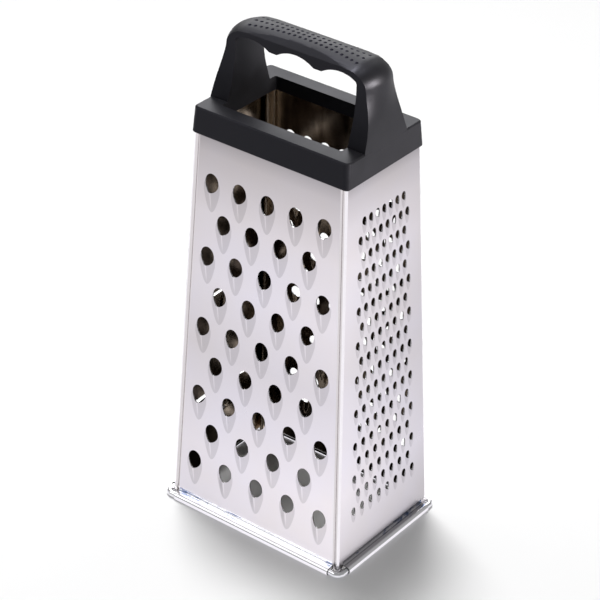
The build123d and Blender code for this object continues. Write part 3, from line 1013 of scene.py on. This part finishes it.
# ---- moulding ----
@dataclass
class Moulding:
    """The black moulding: collar, mouth and bail handle, with pressed dimples along the grip.

    Sizes are in millimetres and angles in degrees, but the ray that finds the grip's top is in metres.
    """

    DIMPLE_INPUTS = ("Columns", "Rows", "Pitch", "Middle Gap", "End Gap", "Radius", "Sink")
    FAN = 2.2
    RAY_START = 0.01
    RAY_LENGTH = 0.05
    node: str = "handle_collar"
    columns: int = 21
    rows: int = 3
    pitch: float = 2.7
    middle_gap: float = 2.55
    end_gap: float = 4.5
    dimple: float = 0.86
    sink: float = 0.52
    soft_edge: float = 0.35
    edge_steps: int = 3
    edge_angle: float = 22.0
    merge: float = 0.001
    flat_angle: float = 0.6
    crease: float = 40.0
    collar_top: float = 195.65
    gap_half: float = 30.7
    leg_foot: float = 39.75
    leg_lean: float = 0.14
    upright: float = 0.07

    def _dimples(self, plastic: Finish, pit: Finish) -> GeometryGraph:
        """Tree that presses a fan of dimples into the top of the grip.

        Args:
            plastic: the moulding's finish.
            pit: the dimples' finish.

        Returns:
            The tree.
        """
        g = GeometryGraph("dimpled_grip", [(name, "Float") for name in self.DIMPLE_INPUTS])
        body, columns, rows, pitch, middle, end, radius, sink = g.value.values()
        index = g.out("GeometryNodeInputIndex")
        row = g.math("FLOOR", index / columns)
        half = (columns - 1.0) / 2.0
        share = (index - row * columns - half) / half
        gap = middle + (end - middle) * g.math("ABSOLUTE", share) ** self.FAN
        top = g.axis(g.geometry("BoundBox", {"Geometry": body}, "Max"), "Z")
        above = g.vector(share * half * pitch, (row - (rows - 1.0) / 2.0) * gap, top + self.RAY_START)
        ray = {"Target Geometry": body, "Ray Direction": (0.0, 0.0, -1.0), "Ray Length": self.RAY_LENGTH}
        landed = g.geometry("SetPosition", {
            "Geometry": g.geometry("Points", {"Count": columns * rows, "Position": above}),
            "Position": g.geometry("Raycast", ray, "Hit Position")})
        ball = g.geometry("MeshIcoSphere", {"Radius": radius, "Subdivisions": 2})
        sunk = g.geometry("Transform", {"Geometry": ball, "Translation": g.vector(z=radius - sink)})
        cutters = g.geometry("SetMaterial", {"Geometry": g.copies(landed, sunk), "Material": pit})
        cut = g.geometry("MeshBoolean", {"Mesh 1": body, "Mesh 2": cutters},
                         operation="DIFFERENCE", solver="MANIFOLD")
        outside = g.math("LESS_THAN", g.out("GeometryNodeInputMaterialIndex"), 0.5)
        g.end(cut, Selection=outside, Material=plastic)
        return g

    def _press(self, item: Item, plastic: Finish, pit: Finish) -> None:
        """Add the dimples to the moulding."""
        sizes = [size * MM for size in (self.pitch, self.middle_gap, self.end_gap, self.dimple, self.sink)]
        values = (float(self.columns), float(self.rows), *sizes)
        self._dimples(plastic, pit).attach(item, dict(zip(self.DIMPLE_INPUTS, values)))

    def _stand_up(self, form: bmesh.types.BMesh) -> None:
        """Bring the legs' outer faces more upright, and leave the finger gap as it is.

        Args:
            form: the moulding.
        """
        for vert in form.verts:
            rise = vert.co.z / MM - self.collar_top
            outer = self.leg_foot - self.leg_lean * rise
            share = (abs(vert.co.x) / MM - self.gap_half) / (outer - self.gap_half)
            if rise > 0 and share > 0:
                vert.co.x += math.copysign(self.upright * rise * min(share, 1.0) * MM, vert.co.x)

    def build(self, solid: Item, plastic: Finish, pit: Finish) -> Item:
        """Make the moulding from a copy of its solid.

        Args:
            solid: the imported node.
            plastic: its finish.
            pit: the finish of the dimples.

        Returns:
            The moulding, riding on the root body in place of its solid.
        """
        mesh = solid.data.copy()
        mesh.name = self.node + "_moulding"
        form = bmesh.new()
        form.from_mesh(mesh)
        bmesh.ops.remove_doubles(form, verts=form.verts, dist=self.merge * MM)
        self._stand_up(form)
        bmesh.ops.dissolve_limit(form, angle_limit=math.radians(self.flat_angle), verts=form.verts,
                                 edges=form.edges)
        form.to_mesh(mesh)
        form.free()
        mesh.materials.clear()
        mesh.materials.append(plastic)
        item = added(mesh.name, mesh)
        bevel = item.modifiers.new("soft_edges", "BEVEL")
        bevel.width = self.soft_edge * MM
        bevel.segments = self.edge_steps
        bevel.limit_method = "ANGLE"
        bevel.angle_limit = math.radians(self.edge_angle)
        bevel.harden_normals = False
        self._press(item, plastic, pit)
        settled(item, self.crease)
        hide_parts(self.node)
        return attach(item, ROOT)


# ---- studio ----
@dataclass(frozen=True)
class Softbox:
    """One square soft lamp that points at the middle of the grater, in metres and watts."""

    name: str
    place: Triple
    size: float
    power: float
    colour: Colour = WHITE
    gloss_only: bool = False
    aim: Triple = (0.0, 0.0, 0.12)

    def hang(self) -> Item:
        """Make the lamp.

        Returns:
            The lamp, in the scene.
        """
        data = bpy.data.lights.new(self.name, "AREA")
        data.size = self.size
        data.energy = self.power
        data.color = self.colour
        item = added(self.name, data)
        item.location = self.place
        item.rotation_euler = (Vector(self.aim) - Vector(self.place)).to_track_quat("-Z", "Y").to_euler()
        item.visible_diffuse = not self.gloss_only
        return item


@dataclass(frozen=True)
class Studio:
    """Plain white studio and the photograph's camera, in metres and degrees."""

    azimuth: float = 37.4044
    elevation: float = 31.9237
    roll: float = 1.1614
    place: Triple = (0.52522, -0.68942, 0.64558)
    lens: float = 143.556
    sensor: float = 36.0
    floor_half: float = 4.0
    white: float = 0.35
    paper: Colour = (0.93, 0.93, 0.93)
    card: Colour = (1.0, 0.985, 1.02)
    card_level: float = -0.002
    mat: Colour = (0.05, 0.045, 0.04)
    # painted shade: a dark mat under the body, seen only by the steel, stands in for the shade there
    mat_half: Point = (0.046, 0.032)
    mat_level: float = -0.001
    softboxes: tuple[Softbox, ...] = (
        Softbox("overhead_softbox", (-0.30, 0.208, 1.6), 0.30, 20.5),
        Softbox("back_softbox", (-0.95, 1.15, 1.05), 1.2, 16.0, gloss_only=True),
        Softbox("front_left_softbox", (-1.03, -1.06, 1.47), 1.0, 5.5, gloss_only=True))
    side: Softbox = Softbox("right_softbox", (1.2, 0.15, 0.5), 0.6, 60.0, (1.0, 0.95, 0.85))

    def camera(self) -> None:
        """Create the camera and make it the scene's."""
        a, e, r = (math.radians(v) for v in (self.azimuth, self.elevation, self.roll))
        back = Vector((math.sin(a) * math.cos(e), -math.cos(a) * math.cos(e), math.sin(e)))
        right = Vector((math.cos(a), math.sin(a), 0.0))
        up = back.cross(right)
        across = right * math.cos(r) + up * math.sin(r)
        upward = up * math.cos(r) - right * math.sin(r)
        data = bpy.data.cameras.new("camera")
        data.lens = self.lens
        data.sensor_width = self.sensor
        data.clip_start = 0.01
        item = added("camera", data)
        turn = Matrix((across, upward, back)).transposed().to_4x4()
        item.matrix_world = Matrix.Translation(Vector(self.place)) @ turn
        bpy.context.scene.camera = item

    def floor(self) -> None:
        """Lay the plain pale floor, and the white card and the dark mat of painted shade that the steel
        reflects in its place.
        """
        paper = MaterialGraph("floor_paper").finish({
            "Base Color": (*self.paper, 1.0), "Roughness": 0.9, "Specular IOR Level": 0.1})
        card = MaterialGraph("white_card").finish({
            "Base Color": (0.0, 0.0, 0.0, 1.0), "Roughness": 1.0, "Specular IOR Level": 0.0,
            "Emission Color": (*self.card, 1.0), "Emission Strength": 1.0})
        mat = MaterialGraph("dark_mat").finish({"Base Color": (*self.mat, 1.0), "Roughness": 0.9})
        wide = (self.floor_half, self.floor_half)
        self._sheet("floor", wide, 0.0, paper).visible_glossy = False
        for item in (self._sheet("reflector_card", wide, self.card_level, card),
                     self._sheet("dark_mat", self.mat_half, self.mat_level, mat)):
            item.visible_camera = False
            item.visible_diffuse = False
            item.visible_shadow = False

    @staticmethod
    def _sheet(name: str, half: Point, level: float, finish: Finish) -> Item:
        """Lay one flat sheet of the set.

        Args:
            name: its name.
            half: half its width along X and half its depth along Y.
            level: its height.
            finish: its material.

        Returns:
            The sheet.
        """
        x, y = half
        mesh = bpy.data.meshes.new(name)
        mesh.from_pydata([(-x, -y, level), (x, -y, level), (x, y, level), (-x, y, level)], [], [(0, 1, 2, 3)])
        mesh.materials.append(finish)
        item = added(name, mesh)
        return item

    def light(self, moulding: Item) -> None:
        """Light the set: white surroundings, soft lamps, and one more that is flagged off the steel.

        Args:
            moulding: the piece that the side lamp reaches.
        """
        scene = bpy.context.scene
        world = bpy.data.worlds.new("white_studio")
        world.use_nodes = True
        background = world.node_tree.nodes["Background"].inputs
        background["Color"].default_value = (*WHITE, 1.0)
        background["Strength"].default_value = self.white
        scene.world = world
        scene.view_settings.view_transform = "Standard"
        for softbox in self.softboxes:
            softbox.hang()
        lit = bpy.data.collections.new("side_lit")
        lit.objects.link(moulding)
        self.side.hang().light_linking.receiver_collection = lit


# ---- the grater ----
def panels() -> list[Panel]:
    """The four panels, from the front round to the right, with their scoops and patterns."""
    coarse = Scoop(width=7.1, height=8.4, tail=9.4, rise=1.35, plan=3.75, around=32, rings=7)
    fine = Scoop(width=2.8, height=3.8, tail=4.0, rise=0.75, plan=1.45, around=14, rings=3, rim=0.12)
    medium = Scoop(width=5.2, height=6.0, tail=6.2, rise=1.1, plan=2.75, around=20, rings=4, rim=0.2)
    slot = Scoop(width=33.0, height=3.4, tail=13.0, rise=2.0, plan=17.0, around=60, rings=7, rim=0.5,
                 square=0.5, crest=0.9)
    return [
        Panel("front_coarse_panel", Side.FRONT, coarse, Pattern(161.6, 17.4, 9, 5, 4, 10.8), Catch()),
        Panel("right_fine_panel", Side.RIGHT, fine, Pattern(163.8, 8.13, 18, 7, 8, 10.0)),
        Panel("back_medium_panel", Side.BACK, medium, Pattern(163.3, 11.3, 13, 7, 6, 12.0), Catch()),
        Panel("left_slicing_panel", Side.LEFT, slot, Pattern(145.0, 51.7, 3, 1, 1, 10.5, 1.0)),
    ]


def outside_finishes() -> dict[bool, list[Finish]]:
    """Outside of the panels that span the width (True) and of those that span the depth."""
    # painted shade: the narrow sides get their own darker tone up the panel and their own light drift, as the
    # light falls on them
    shade_by_height = ((0.0, 0.64), (0.06, 0.70), (0.21, 0.86), (0.52, 0.78), (0.80, 0.87), (0.90, 0.79),
               (0.97, 0.63), (1.0, 0.44))
    reach = ((0.0, 0.5), (0.45, 0.55), (0.6, 0.95), (1.0, 1.1))
    steel = SatinSteel("fine_satin_steel", shade_by_height=shade_by_height, light_drift=(0.0, -4.0, 0.0))
    # painted reflection: the side hems' grey ledge stands in for the shadowed floor that they reflect
    hem = HemSteel("side_hem", ledge=(0.36, 0.35, 0.37), along="Y", half=0.032, stretch=(1.0, 0.22, 1.0),
                   reach=reach)
    fold = FoldSteel().make()
    return {True: [SatinSteel().make(), HemSteel().make(), fold], False: [steel.make(), hem.make(), fold]}


def main() -> None:
    """Build the grater and its studio."""
    logging.basicConfig(level=logging.INFO, format="%(name)s: %(message)s")
    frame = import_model()
    outside, inside = outside_finishes(), ShadedInsideSteel().make()
    cut = BrightSteel("cut_edge", streaks=0.0, roughness=0.2, shade=0.12).make()
    punching = Punching()
    pieces = [panel.build(punching, outside[panel.side.wide], inside, cut) for panel in panels()]
    wire = frame["nodes"]["base_wire"]
    wire.data.materials.clear()
    wire.data.materials.append(BrightSteel().make())
    pit = BlackPlastic("pit_plastic", (0.006, 0.006, 0.010), (0.010, 0.010, 0.016), low_roughness=0.55,
                       high_roughness=0.65, specular=0.12).make()
    moulding = Moulding().build(frame["nodes"]["handle_collar"], BlackPlastic().make(), pit)
    for piece in (*pieces, wire, moulding):
        LOG.info("%s: %d faces", piece.name, len(piece.data.polygons))
    studio = Studio()
    studio.camera()
    studio.floor()
    studio.light(moulding)


if __name__ == "__main__":
    main()
